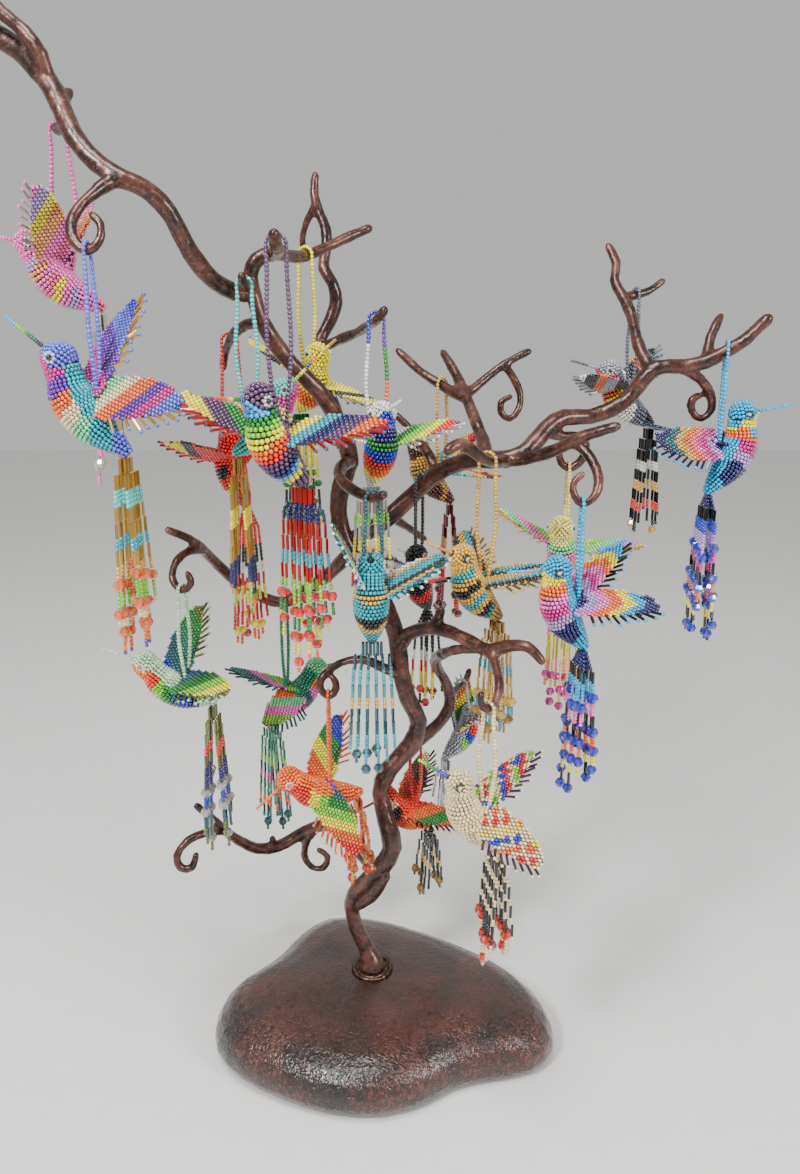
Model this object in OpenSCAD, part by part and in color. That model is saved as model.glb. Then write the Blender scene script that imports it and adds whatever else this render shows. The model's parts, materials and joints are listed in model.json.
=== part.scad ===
// Table-top display tree of patinated metal, hung with glass-bead hummingbirds.
// Origin: underside of the base pad, on the axis of the trunk's foot. Z is up and -Y is the front.

/* [Tree] */
// Height from the base's top to the highest twig tip
tree_h = 690; // [600:5:840]
// Width from the left bough's tip to the right bough's tip
tree_w = 530; // [500:5:650]
// Diameter of the trunk at its middle
trunk_d = 14; // [11:0.5:16]

/* [Base] */
// Width of the pebble-shaped base, left to right
base_w = 260; // [220:5:320]
// Depth of the base, front to back
base_depth = 200; // [170:5:250]
// Height of the base's top above the surface it stands on
base_h = 45; // [40:1:60]
// Thickness of the felt pad under the base
pad_t = 1.5; // [1:0.25:3]

/* [Fixing] */
// Outer diameter of the collar that the trunk's foot stands in
collar_d = 31; // [28:0.5:38]
// Depth of the collar's seat in the base
seat_depth = 3; // [2:0.5:5]
// Height of the collar above the base
collar_rise = 1.6; // [1:0.2:3]
// Diameter of the trunk's foot where it sits on the collar
foot_d = 22; // [20:0.5:26]
// Diameter of the tenon under the trunk's foot
tenon_d = 12; // [10:0.5:15]
// Diameter of the stud that clamps the trunk to the base
stud_d = 8; // [6:0.5:9]
// Washer diameter
washer_d = 20; // [18:0.5:24]
// Washer thickness
washer_t = 1.6; // [1:0.2:2.5]
// Nut size across its flats
nut_af = 13; // [11:0.5:16]
// Nut height
nut_h = 6.5; // [5:0.5:8]
// Clearance round the stud, the tenon and the collar
fit_gap = 0.1; // [0.05:0.05:0.3]

/* [Birds] */
// Length of a bird's body and head, from tail to face
body_l = 62; // [50:1:72]
// Length of a wing from its root, without the fringe
wing_l = 54; // [40:1:64]
// Width of a wing at its root
wing_w = 25; // [18:1:30]
// Thickness of a wing
wing_t = 2.4; // [1.8:0.2:3]
// Length of the bill
bill_l = 24; // [15:1:30]
// Diameter of the bead string that a bird hangs from
loop_d = 2; // [1.6:0.1:2.4]
// Gap between a hanging loop and the twig that it goes over
loop_gap = 0.8; // [0.5:0.1:1.2]
// Diameter of a tassel strand
strand_d = 2.4; // [2:0.2:3]
// Spacing of the strands in a tassel
strand_step = 4.6; // [4.2:0.2:6]
// Diameter of the crystal beads at a strand's end
crystal_d = 6; // [5:0.5:7]
// Gap between a bird's tail and the top of its tassel
tail_gap = 1.5; // [1:0.1:2.5]

/* [Hidden] */

branch_sides = 8;
string_sides = 6;
bark = [0.3, 0.14, 0.11];

// The routes below are drawn for a tree of this height, width and trunk; size_point() fits them.
drawn_h = 690;
drawn_w = 530;
drawn_trunk_d = 14;
drawn_base_h = 45;

// Each route is a list of [x, y, z, radius], from its root to its tip.
trunk_route = [[0, 0, 48, 11], [-1, 0, 53, 9.5], [-5, 2, 63, 6.8], [-13, 4, 82, 6.5], [-16, 5, 100, 7],
    [-8, 3, 118, 7.5], [6, -2, 135, 8], [16, -4, 155, 8], [12, -2, 176, 7.5], [7, 4, 196, 7],
    [14, 8, 215, 7.5], [30, 10, 233, 7.5], [36, 10, 252, 7], [28, 6, 272, 7], [22, 5, 295, 7],
    [20, 7, 318, 7], [10, 12, 345, 7], [-6, 16, 368, 7], [-18, 20, 390, 7], [-22, 20, 410, 7],
    [-19, 18, 430, 7], [-12, 15, 447, 7]];
low_stub = [[-14, 4, 98, 5], [0, -2, 110, 4.5], [12, -8, 132, 3.5]];
front_stub = [[-12, 12, 447, 5], [-18, -8, 445, 4.5], [-17, -28, 440, 4.2], [-7, -46, 435, 3.8],
    [5, -62, 433, 3.6], [12, -72, 437, 3.4]];
arch_route = [[20, 7, 310, 6.5], [28, -2, 325, 6], [42, -20, 335, 5.5], [56, -38, 338, 5],
    [70, -52, 335, 5], [80, -62, 333, 5], [92, -70, 339, 4.5], [103, -78, 341, 4], [111, -82, 333, 3.5]];
arch_stub = [[46, -24, 336, 4.6], [50, -28, 350, 3.6]];
arch_hook = [[80, -60, 333, 4], [83, -76, 328, 3.3], [84, -91, 320, 3.1], [81, -101, 313, 3],
    [76, -107, 311, 3], [71, -110, 315, 3], [71, -111, 322, 2.8]];
vine_route = [[18, 11, 221, 5.5], [34, 24, 228, 5], [50, 34, 238, 5], [60, 38, 252, 5],
    [59, 39, 268, 4.8], [52, 32, 284, 4.6], [48, 16, 298, 4.4], [50, -6, 310, 4.2],
    [54, -28, 320, 4], [64, -46, 329, 3.8], [77, -59, 333, 3.6]];
vine_bud = [[60, 38, 262, 3.8], [66, 48, 263, 3.2], [71, 58, 263, 3], [75, 67, 264, 3], [78, 74, 269, 2.8]];
trunk_hook_route = [[20, 4, 292, 5], [8, -6, 302, 4.2], [-6, -14, 310, 3.6], [-20, -22, 310, 3.4],
    [-31, -27, 303, 3.2], [-34, -29, 295, 3.1], [-28, -30, 288, 3], [-22, -29, 294, 3],
    [-24, -28, 301, 2.8]];
low_left_route = [[2, 2, 133, 6.5], [-16, 20, 145, 6], [-33, 38, 150, 5.6], [-49, 50, 141, 5.5],
    [-64, 55, 130, 5.5], [-79, 50, 124, 5.4], [-94, 38, 129, 5], [-107, 23, 146, 4.6],
    [-116, 10, 164, 4.2], [-124, 0, 180, 3.8], [-130, -6, 191, 3.4]];
low_left_bud = [[-82, 48, 126, 4], [-82, 42, 136, 3]];
low_curl_outer = [[-113, 12, 160, 4], [-126, 4, 163, 3.7], [-139, -4, 161, 3.5], [-147, -9, 151, 3.3],
    [-144, -10, 141, 3.2], [-136, -9, 141, 3.1], [-133, -7, 150, 3]];
low_curl_inner = [[-45, 47, 144, 4.2], [-54, 52, 130, 3.7], [-58, 54, 114, 3.5], [-52, 54, 102, 3.3],
    [-42, 53, 102, 3.2], [-38, 52, 113, 3.1], [-45, 52, 119, 3]];
mid_left_route = [[-15, 20, 378, 6], [-30, 32, 361, 5.6], [-49, 42, 345, 5.4], [-67, 48, 334, 5.2],
    [-84, 50, 338, 5], [-101, 46, 350, 4.8], [-114, 34, 368, 4.5], [-120, 14, 384, 4.2],
    [-124, -5, 395, 3.8], [-135, -18, 404, 3.4]];
pale_hook = [[-119, 14, 383, 4], [-125, -3, 386, 3.7], [-131, -16, 382, 3.4], [-133, -24, 372, 3.2],
    [-126, -28, 364, 3.1], [-119, -29, 369, 3], [-121, -29, 376, 2.8]];
crown_left_route = [[-12, 15, 445, 7], [-18, 6, 470, 6.5], [-31, -4, 494, 6], [-47, -10, 511, 6],
    [-58, -12, 525, 6], [-67, -14, 540, 5.8], [-71, -15, 555, 5.6], [-73, -16, 567, 5.4],
    [-68, -18, 577, 5.2], [-58, -12, 581, 5], [-50, 8, 581, 4.6], [-42, 28, 583, 4.2],
    [-30, 40, 589, 4], [-16, 48, 596, 3.8], [0, 54, 603, 3.5]];
crown_stub = [[-58, -14, 581, 5.2], [-53, -34, 581, 5], [-50, -54, 580, 4.6], [-49, -70, 581, 4.4],
    [-48, -84, 585, 4.2]];
crown_bud = [[-72, -17, 560, 4.2], [-73, -25, 561, 3.5], [-74, -34, 561, 3.2], [-74, -42, 566, 3]];
crown_curl = [[-66, -14, 538, 4.6], [-77, -8, 538, 4.2], [-87, 2, 533, 3.9], [-93, 13, 527, 3.6],
    [-98, 22, 519, 3.4], [-101, 28, 509, 3.2]];
crown_right_route = [[-16, 13, 456, 6.5], [-20, 20, 470, 6], [-28, 38, 490, 5.8], [-36, 53, 507, 5.6],
    [-38, 60, 520, 5.8], [-35, 63, 530, 5.4], [-28, 65, 543, 5], [-24, 66, 555, 5.2],
    [-26, 64, 567, 4.8], [-33, 67, 578, 4.4], [-31, 70, 592, 4.2], [-31, 72, 605, 4],
    [-36, 74, 617, 3.9], [-39, 75, 628, 3.7], [-38, 76, 641, 3.4]];
crown_thin_twig = [[-38, 74, 622, 3.2], [-46, 78, 608, 2.9], [-49, 82, 597, 2.8], [-48, 88, 586, 2.7]];
white_twig = [[-37, 59, 521, 4.4], [-22, 51, 528, 4.1], [-8, 35, 533, 4], [0, 14, 537, 3.8],
    [4, -6, 539, 3.7], [7, -24, 540, 3.6], [12, -34, 546, 3.3]];
top_left_route = [[-71, -16, 556, 6], [-83, -21, 558, 6], [-93, -28, 563, 6], [-101, -36, 573, 6],
    [-107, -43, 585, 6], [-112, -49, 597, 6], [-118, -53, 606, 6], [-126, -56, 613, 6],
    [-136, -58, 617, 6.2], [-147, -57, 623, 6.4], [-158, -55, 632, 6.4], [-167, -51, 644, 6.4],
    [-173, -47, 657, 6.4], [-179, -43, 669, 6.6], [-188, -39, 681, 7], [-199, -35, 691, 7],
    [-213, -31, 699, 6.6], [-232, -26, 706, 6], [-251, -20, 712, 5], [-266, -14, 722, 4]];
top_left_strand = [[-181, -42, 673, 5], [-182, -47, 685, 4.6], [-190, -46, 696, 4.5],
    [-202, -42, 706, 4.2], [-214, -38, 718, 4], [-225, -34, 732, 3.6]];
top_left_bud = [[-174, -44, 660, 4], [-171, -36, 668, 3]];
pink_bud = [[-168, -50, 647, 5], [-175, -41, 648, 3.8], [-181, -32, 648, 3.4], [-186, -24, 653, 3.1]];
blue_hook = [[-140, -57, 618, 5], [-149, -66, 611, 4.2], [-157, -74, 602, 3.8], [-162, -80, 591, 3.6],
    [-159, -85, 581, 3.5], [-152, -87, 576, 3.4], [-145, -86, 581, 3.3], [-144, -84, 590, 3.2],
    [-149, -82, 595, 3]];
right_route = [[-14, 20, 388, 7], [2, 27, 396, 7], [20, 34, 408, 7], [36, 34, 424, 6.8],
    [56, 24, 441, 6.8], [76, 4, 449, 6.8], [92, -6, 450, 6.6], [108, -5, 456, 6.5], [122, 4, 470, 6.5],
    [135, 10, 477, 6.2], [152, 14, 477, 6], [168, 15, 482, 6], [180, 14, 491, 6], [187, 12, 502, 5.8],
    [196, 10, 510, 5.8], [211, 8, 511, 5.4], [227, 6, 514, 5.2], [240, 4, 521, 5], [251, 1, 529, 4.9],
    [262, -3, 541, 4.6]];
right_fork = [[227, 6, 513, 4.4], [232, 15, 530, 3.7], [240, 22, 544, 3.2]];
right_curl = [[214, 8, 509, 4.2], [226, 13, 503, 3.7], [235, 17, 493, 3.5], [238, 19, 482, 3.3],
    [232, 20, 475, 3.2], [225, 20, 480, 3.1], [224, 20, 488, 3], [229, 20, 491, 2.8]];
tall_twig = [[193, 11, 508, 5], [187, 21, 520, 4.8], [185, 33, 534, 4.5], [184, 45, 547, 4.3],
    [179, 55, 559, 4.2], [175, 62, 570, 4], [177, 66, 581, 3.8], [171, 70, 593, 3.5]];
tall_stub = [[179, 54, 557, 3.8], [190, 58, 559, 3.5], [200, 61, 562, 3.2], [210, 64, 569, 3]];
right_back_twig = [[48, 29, 434, 4.4], [44, 36, 446, 4], [36, 39, 458, 3.6], [27, 38, 469, 3.3],
    [15, 36, 480, 3.1]];
right_low_twig = [[14, 33, 404, 4.5], [23, 46, 396, 4], [33, 60, 387, 3.6], [41, 70, 379, 3.2]];
right_lower_route = [[93, -6, 450, 5.2], [102, -11, 451, 5.1], [113, -19, 454, 4.9], [125, -29, 460, 4.7],
    [134, -36, 466, 4.6], [144, -42, 471, 4.2], [157, -49, 476, 3.6]];
cyan_hook = [[133, -35, 465, 4.2], [141, -42, 459, 3.8], [146, -50, 449, 3.5], [146, -57, 439, 3.4],
    [142, -60, 432, 3.3], [136, -61, 429, 3.2], [131, -60, 434, 3.1], [130, -59, 442, 3],
    [135, -58, 447, 2.8]];
lemon_hook = [[121, 3, 468, 4.6], [134, 8, 464, 4.1], [145, 13, 464, 3.7], [152, 18, 457, 3.5],
    [152, 22, 449, 3.4], [148, 24, 443, 3.3], [142, 25, 440, 3.2], [136, 24, 444, 3.1],
    [134, 22, 452, 3]];
gold_curl = [[93, -7, 450, 5.2], [86, -19, 450, 4.8], [79, -31, 452, 4.5], [72, -41, 457, 4.3],
    [65, -50, 463, 4.2], [58, -57, 466, 4], [52, -61, 463, 4]];
middle_route = [[80, 0, 450, 5.8], [80, 14, 460, 5.2], [75, 30, 474, 4.8], [70, 47, 488, 4.6],
    [65, 62, 500, 4.2], [59, 72, 511, 4], [54, 80, 519, 3.6]];
middle_left_twig = [[70, 46, 487, 4.3], [61, 54, 491, 4.1], [53, 62, 496, 3.9], [44, 67, 501, 3.7],
    [34, 70, 508, 3.5], [21, 74, 520, 3.2]];
middle_right_twig = [[69, 49, 489, 4.2], [82, 57, 499, 3.8], [98, 62, 511, 3.5], [116, 66, 520, 3.2]];
middle_curl = [[98, 62, 511, 3.5], [105, 60, 501, 3.3], [110, 58, 490, 3.2], [109, 56, 479, 3.1],
    [102, 54, 472, 3], [96, 54, 477, 2.9], [96, 54, 485, 2.8], [102, 54, 488, 2.7]];

// Outline of the base, front at -Y, drawn 260 wide and 200 deep.
base_outline = [[-45, 92], [-8, 92], [25, 80], [64, 60], [98, 36], [124, 10], [138, -18], [138, -48],
    [120, -68], [85, -76], [60, -84], [38, -98], [8, -108], [-28, -105], [-62, -93], [-95, -74],
    [-116, -50], [-121, -22], [-114, 2], [-94, 24], [-80, 46], [-68, 70]];
drawn_base_w = 260;
drawn_base_depth = 200;
// Section of the base: [share of the outline, share of the height above the pad].
base_section = [[0.93, 0], [0.975, 0.06], [1, 0.22], [0.99, 0.4], [0.955, 0.58], [0.89, 0.74],
    [0.78, 0.86], [0.62, 0.93], [0.42, 0.97], [0.24, 1]];
pad_share = 0.9;

// One row per bird, in this order:
// [route, its point, heading, pitch, bill pitch, loop length, size, left wing, right wing,
//  tassel length, strands, swing each way, colour]
// Angles are in degrees. Heading 0 looks along +X and 90 along +Y. A wing is
// [turn from the heading, rise, roll]. Lengths are in millimetres.
birds = [
    [pink_bud, 2, 205, 35, 10, 76, 0.95, [75, 50, 30], [-135, 50, -20], 112, 6, 5, "hotpink"],
    [blue_hook, 5, 178, 48, 40, 78, 1.12, [160, 0, 60], [-125, 55, 0], 128, 6, 6, "royalblue"],
    [crown_bud, 2, 0, 42, 45, 78, 0.9, [165, 12, 20], [-165, 8, -30], 105, 5, 3, "turquoise"],
    [crown_left_route, 11, -60, 40, 20, 78, 0.9, [45, -20, 10], [-140, 28, 0], 100, 5, 3, "gold"],
    [crown_stub, 3, 230, 48, 5, 106, 1.1, [125, 8, 30], [-65, 20, -20], 120, 7, 3, "rebeccapurple"],
    [crown_curl, 3, 160, 70, 50, 82, 0.9, [60, 20, 20], [-90, 45, 0], 108, 5, 3, "red"],
    [white_twig, 5, -65, 60, 20, 76, 0.9, [65, 15, 20], [-120, 10, 0], 90, 5, 3, "white"],
    [front_stub, 4, -90, 70, 40, 64, 0.95, [75, 32, 30], [-55, 60, -30], 96, 6, 3, "teal"],
    [right_route, 3, 240, 60, 20, 66, 0.85, [45, 10, 0], [-70, 25, 0], 80, 4, 3, "dimgray"],
    [middle_left_twig, 2, 185, 50, 35, 60, 0.85, [160, -5, 0], [-150, 30, 0], 100, 4, 3, "maroon"],
    [gold_curl, 2, 207, 48, 25, 78, 0.95, [155, 10, 20], [-110, 25, 0], 94, 6, 4, "goldenrod"],
    [lemon_hook, 6, 250, 45, 15, 55, 0.9, [100, 5, 10], [-75, 30, -10], 110, 5, 4, "khaki"],
    [cyan_hook, 5, 190, 60, 0, 62, 1, [140, 5, 30], [-150, 30, 0], 104, 6, 5, "deepskyblue"],
    [tall_stub, 1, 185, 40, 15, 66, 0.9, [40, 15, 20], [-130, 35, 0], 84, 5, 5, "slategray"],
    [right_route, 17, -5, 62, 12, 62, 1, [160, 12, 10], [-155, 5, -60], 110, 6, 6, "darkturquoise"],
    [pale_hook, 4, 180, 22, 22, 60, 0.95, [145, 5, 25], [-110, 50, 0], 114, 5, 5, "palegreen"],
    [mid_left_route, 3, 40, 25, 0, 69, 0.95, [150, 20, 0], [-150, -10, -30], 96, 5, 3, "mediumseagreen"],
    [trunk_hook_route, 6, 195, 10, -40, 62, 0.95, [120, -40, 50], [-120, 40, 0], 70, 5, 5, "darkorange"],
    [arch_hook, 4, 190, 52, 35, 66, 0.95, [125, -15, 40], [-150, 25, 0], 84, 7, 5, "cornsilk"],
    [vine_route, 1, 200, 30, -20, 50, 0.85, [130, 0, 20], [-135, 35, 0], 60, 5, 3, "orangered"],
    [vine_bud, 2, 20, 50, 20, 38, 0.75, [60, 50, 0], [-60, 40, 0], 50, 4, 4, "silver"]];

// Shape of a body along its spine: [along, above, radius] from tail to neck, for a 62 mm body.
drawn_body_l = 62;
spine = [[-30, -9, 3.2], [-21, -10.5, 6.8], [-8, -12, 10.4], [6, -10, 11], [16, -5, 8.6], [24, -1, 8.8]];
face_reach = 9;
head_place = spine[len(spine) - 1];
tail_place = spine[0];
wing_root = [2, 0, -5];

function size_point(p) = [p[0] * tree_w / drawn_w, p[1] * tree_w / drawn_w,
    base_h + (p[2] - drawn_base_h) * tree_h / drawn_h];
function size_radius(p) = p[3] * trunk_d / drawn_trunk_d;

// A smooth curve through rows of numbers, with steps places for each span.
function curve_at(a, b, c, d, t) = 0.5 * (2 * b + (c - a) * t + (2 * a - 5 * b + 4 * c - d) * t * t
    + (3 * b - a - 3 * c + d) * t * t * t);
function curve(rows, steps) = let (last = len(rows) - 1) [for (i = [0:last - 1], j = [0:steps - 1])
    curve_at(rows[max(i - 1, 0)], rows[i], rows[i + 1], rows[min(i + 2, last)], j / steps), rows[last]];
function closed_curve(rows, steps) = let (n = len(rows)) [for (i = [0:n - 1], j = [0:steps - 1])
    curve_at(rows[(i + n - 1) % n], rows[i], rows[(i + 1) % n], rows[(i + 2) % n], j / steps)];

function unit(v) = v / norm(v);
function flat_unit(v) = unit([v[0], v[1], 0]);
function place(row) = [row[0], row[1], row[2]];
function tangent(path, i) = unit(place(path[min(i + 1, len(path) - 1)]) - place(path[max(i - 1, 0)]));
function across(v) = let (a = abs(v[2]) < 0.8 ? [0, 0, 1] : [0, 1, 0]) unit(a - (a * v) * v);
function side_vectors(path) = [for (i = 0, s = across(tangent(path, 0)); i < len(path); i = i + 1,
    t = tangent(path, min(i, len(path) - 1)), s = unit(s - (s * t) * t)) s];

// A closed skin over rings of equal length, which run clockwise seen from the last ring.
module skin(rings) {
    n = len(rings[0]);
    last = len(rings) - 1;
    polyhedron(points = [for (r = rings, p = r) p], faces = concat([[for (k = [n - 1:-1:0]) k]],
        [for (i = [0:last - 1], k = [0:n - 1]) each let (a = i * n + k, b = i * n + (k + 1) % n)
            [[a, b, a + n], [b, b + n, a + n]]],
        [[for (k = [0:n - 1]) last * n + k]]));
}

// A round tube along rows of [x, y, z, radius].
module tube(path, sides) {
    s = side_vectors(path);
    skin([for (i = [0:len(path) - 1]) let (v = cross(tangent(path, i), s[i]))
        [for (k = [0:sides - 1]) place(path[i])
            + path[i][3] * (cos(-360 * k / sides) * s[i] + sin(-360 * k / sides) * v)]]);
}

// A branch with a rounded tip.
module branch(route) {
    path = curve([for (p = route) [each size_point(p), size_radius(p)]], 2);
    tip = path[len(path) - 1];
    way = tangent(path, len(path) - 1);
    tube(concat(path, [[each (place(tip) + 0.6 * tip[3] * way), 0.75 * tip[3]],
        [each (place(tip) + 0.95 * tip[3] * way), 0.3 * tip[3]]]), branch_sides);
}

module base() {
    side = closed_curve([for (p = base_outline) [p[0] * base_w / drawn_base_w,
        p[1] * base_depth / drawn_base_depth]], 2);
    color([0.25, 0.1, 0.08]) difference() {
        skin([for (s = base_section) [for (p = side) [s[0] * p[0], s[0] * p[1],
            pad_t + s[1] * (base_h - pad_t)]]]);
        translate([0, 0, base_h - seat_depth]) cylinder(h = seat_depth + 1, d = collar_d + 2 * fit_gap, $fn = 64);
        cylinder(h = base_h, d = stud_d + 2 * fit_gap, $fn = 48);
        translate([0, 0, -1]) cylinder(h = recess_top() + 1, d = washer_d + 6, $fn = 64);
    }
}

function recess_top() = pad_t + 1.5 + nut_h + 4 + washer_t;

module base_pad() {
    side = closed_curve([for (p = base_outline) [p[0] * base_w / drawn_base_w,
        p[1] * base_depth / drawn_base_depth]], 2);
    color([0.08, 0.08, 0.08]) linear_extrude(pad_t) polygon(pad_share * side);
}

module socket_collar() {
    h = seat_depth + collar_rise;
    r = collar_d / 2;
    color([0.34, 0.26, 0.22]) translate([0, 0, base_h - seat_depth]) rotate_extrude($fn = 64)
        polygon([[tenon_d / 2 + fit_gap, 0], [r, 0], [r, h - 0.8], [r - 0.8, h], [r - 1.8, h],
            [r - 2.4, h - 1], [r - 3.2, h - 1], [r - 3.6, h - 0.2], [tenon_d / 2 + fit_gap, h - 0.2]]);
}

module trunk() {
    foot = base_h + collar_rise;
    color(bark) difference() {
        union() {
            branch(trunk_route);
            branch(low_stub);
            branch(front_stub);
            translate([0, 0, foot]) cylinder(h = 2, d = foot_d, $fn = 64);
            translate([0, 0, base_h - seat_depth]) cylinder(h = foot - base_h + seat_depth + 1, d = tenon_d, $fn = 48);
        }
        translate([0, 0, base_h - seat_depth - 1]) cylinder(h = seat_depth + 7, d = stud_d + 2 * fit_gap, $fn = 48);
    }
}

module trunk_stud() {
    low = recess_top() - washer_t - nut_h - 2;
    color("silver") translate([0, 0, low]) cylinder(h = base_h + 5 - low, d = stud_d, $fn = 48);
}

module stud_washer() {
    color("silver") translate([0, 0, recess_top() - washer_t]) difference() {
        cylinder(h = washer_t, d = washer_d, $fn = 64);
        translate([0, 0, -1]) cylinder(h = washer_t + 2, d = stud_d + 2 * fit_gap, $fn = 48);
    }
}

module stud_nut() {
    color("silver") translate([0, 0, recess_top() - washer_t - nut_h]) difference() {
        cylinder(h = nut_h, d = nut_af / cos(30), $fn = 6);
        translate([0, 0, -1]) cylinder(h = nut_h + 2, d = stud_d + 2 * fit_gap, $fn = 48);
    }
}

module limb(routes) color(bark) for (r = routes) branch(r);

// Where a bird hangs: its place on the twig, the twig's radius as the loop meets it, and its axis.
function hang_row(b) = b[0][b[1]];
function hang_place(b) = size_point(hang_row(b));
function twig_way(b) = unit(size_point(b[0][b[1] + 1]) - size_point(b[0][b[1] - 1]));
function swing_axis(b) = let (a = flat_unit(twig_way(b))) a[1] < 0 || (a[1] == 0 && a[0] < 0) ? -a : a;
function ring_r(b) = size_radius(hang_row(b)) / norm([twig_way(b)[0], twig_way(b)[1]])
    + loop_gap + loop_d / 2;

// Places on a bird in its own upright frame: X is its heading, and the origin is the top of its back.
function body_scale(b) = b[6] * body_l / drawn_body_l;
function pitched(b, p) = body_scale(b) * [p[0] * cos(b[3]) - p[1] * sin(b[3]), 0,
    p[0] * sin(b[3]) + p[1] * cos(b[3])];
function bill_way(b) = [cos(b[4]), 0, sin(b[4])];
function wing_way(w) = [cos(w[0]) * cos(w[1]), sin(w[0]) * cos(w[1]), sin(w[1])];

// Rough volumes, to sew the loop on where the bird balances.
function body_part(b) = 8.2 * pow(body_scale(b), 3);
function wing_part(b) = 0.72 * wing_l * wing_w * wing_t * b[6] * b[6] / 1000;
function tassel_part(b) = b[10] * (0.87 * 0.785 * strand_d * strand_d * b[9]
    + 1.3 * crystal_d * crystal_d * crystal_d) / 1000;
function balance(b) = let (w = wing_part(b), s = 0.45 * wing_l * b[6],
    m = body_part(b) + 2 * w + tassel_part(b),
    c = (body_part(b) * pitched(b, [0, -9, 0]) + w * s * (wing_way(b[7]) + wing_way(b[8]))
        + 2 * w * pitched(b, [2, -5, 0]) + tassel_part(b) * pitched(b, tail_place)) / m)
    [-c[0], -c[1], 0];

// Puts its children in a bird's frame, hung under the twig.
module hung(b) {
    translate(hang_place(b)) rotate([0, 0, b[2]]) translate(balance(b) + [0, 0, -b[5]]) children();
}

// Just under the tail's skin, which hangs lower the flatter the bird flies.
function tail_point(b) = pitched(b, tail_place)
    - [0, 0, (0.6 + 0.9 * cos(b[3])) * tail_place[2] * body_scale(b)];

module bird_body(b) {
    k = body_scale(b);
    head = pitched(b, head_place);
    beak = face_reach * k;
    tube(concat([for (s = spine) [each pitched(b, s), s[2] * k]],
        [[each (head + 0.6 * beak * bill_way(b)), 6 * k], [each (head + beak * bill_way(b)), 2.2 * k],
        [each (head + (beak + bill_l * b[6]) * bill_way(b)), 1.1]]), branch_sides);
}

module wing(b, w) {
    l = wing_l * b[6];
    c = wing_w * b[6];
    translate(pitched(b, [wing_root[0], wing_root[2], 0])) rotate([w[2], -w[1], w[0]])
        translate([0, 0, -wing_t / 2]) linear_extrude(wing_t)
            polygon([[0, -0.4 * c], [0.3 * l, -0.5 * c], [0.75 * l, -0.42 * c], [1.1 * l, -0.2 * c],
                [1.12 * l, 0], [0.95 * l, 0.3 * c], [0.6 * l, 0.5 * c], [0.3 * l, 0.5 * c], [0, 0.35 * c]]);
}

module hanging_loop(b) {
    r = ring_r(b);
    side = cross([0, 0, 1], swing_axis(b));
    wide = max(r, 7);
    drop = b[5] + 4;
    foot = 1.6;
    rise = [[foot, -drop], [0.6 * wide, -0.8 * drop], [wide, -0.5 * drop], [r, -0.15 * drop]];
    arch = [for (a = [0:36:180]) [r * cos(a), r * sin(a)]];
    fall = [for (i = [3:-1:0]) [-rise[i][0], rise[i][1]]];
    translate(hang_place(b)) tube([for (p = concat(rise, arch, fall))
        [each (p[0] * side + [0, 0, p[1]]), loop_d / 2]], string_sides);
}

module bird(n) {
    b = birds[n];
    color(b[12]) {
        hung(b) {
            bird_body(b);
            wing(b, b[7]);
            wing(b, b[8]);
        }
        hanging_loop(b);
    }
}

// Strands side by side across the tail, the middle ones longest.
module tassel(n) {
    b = birds[n];
    count = b[10];
    color(b[12]) hung(b) translate(tail_point(b)) for (i = [0:count - 1]) {
        off = i - (count - 1) / 2;
        length = b[9] * (1 - 0.09 * abs(off) - 0.05 * (i % 2));
        translate([i % 2 == 0 ? 2.6 : -2.6, off * strand_step, -tail_gap - length]) {
            cylinder(h = length, d = strand_d, $fn = 6);
            cylinder(h = 2 * crystal_d, d = crystal_d, $fn = 6);
        }
    }
}

base();
base_pad();
socket_collar();
trunk_stud();
stud_washer();
stud_nut();
trunk();
limb([arch_route, arch_stub, arch_hook]);  // arch_branch
limb([vine_route, vine_bud]);  // vine_branch
limb([trunk_hook_route]);  // trunk_hook
limb([low_left_route, low_left_bud, low_curl_outer, low_curl_inner]);  // lower_left_bough
limb([mid_left_route, pale_hook]);  // mid_left_branch
limb([crown_left_route, crown_stub, crown_bud, crown_curl]);  // crown_left_stem
limb([crown_right_route, crown_thin_twig, white_twig]);  // crown_right_stem
limb([top_left_route, top_left_strand, top_left_bud, pink_bud, blue_hook]);  // top_left_bough
limb([right_route, right_fork, right_curl, tall_twig, tall_stub, right_back_twig, right_low_twig,  // right_bough
        lemon_hook]);
limb([right_lower_route, cyan_hook, gold_curl]);  // right_lower_bough
limb([middle_route, middle_left_twig, middle_right_twig, middle_curl]);  // middle_stem
bird(0);  // pink_bird
bird(1);  // blue_bird
bird(2);  // aqua_bird
bird(3);  // yellow_bird
bird(4);  // rainbow_bird
bird(5);  // red_bird
bird(6);  // white_bird
bird(7);  // teal_bird
bird(8);  // black_bird
bird(9);  // maroon_bird
bird(10);  // gold_bird
bird(11);  // lemon_bird
bird(12);  // cyan_bird
bird(13);  // silver_black_bird
bird(14);  // cyan_right_bird
bird(15);  // pale_green_bird
bird(16);  // green_bird
bird(17);  // orange_bird
bird(18);  // cream_bird
bird(19);  // scarlet_bird
bird(20);  // silver_bird
tassel(0);  // pink_tassel
tassel(1);  // blue_tassel
tassel(2);  // aqua_tassel
tassel(3);  // yellow_tassel
tassel(4);  // rainbow_tassel
tassel(5);  // red_tassel
tassel(6);  // white_tassel
tassel(7);  // teal_tassel
tassel(8);  // black_tassel
tassel(9);  // maroon_tassel
tassel(10);  // gold_tassel
tassel(11);  // lemon_tassel
tassel(12);  // cyan_tassel
tassel(13);  // silver_black_tassel
tassel(14);  // cyan_right_tassel
tassel(15);  // pale_green_tassel
tassel(16);  // green_tassel
tassel(17);  // orange_tassel
tassel(18);  // cream_tassel
tassel(19);  // scarlet_tassel
tassel(20);  // silver_tassel
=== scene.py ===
import bpy
import json
import math
import numpy as np
from mathutils import Matrix, Vector

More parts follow.
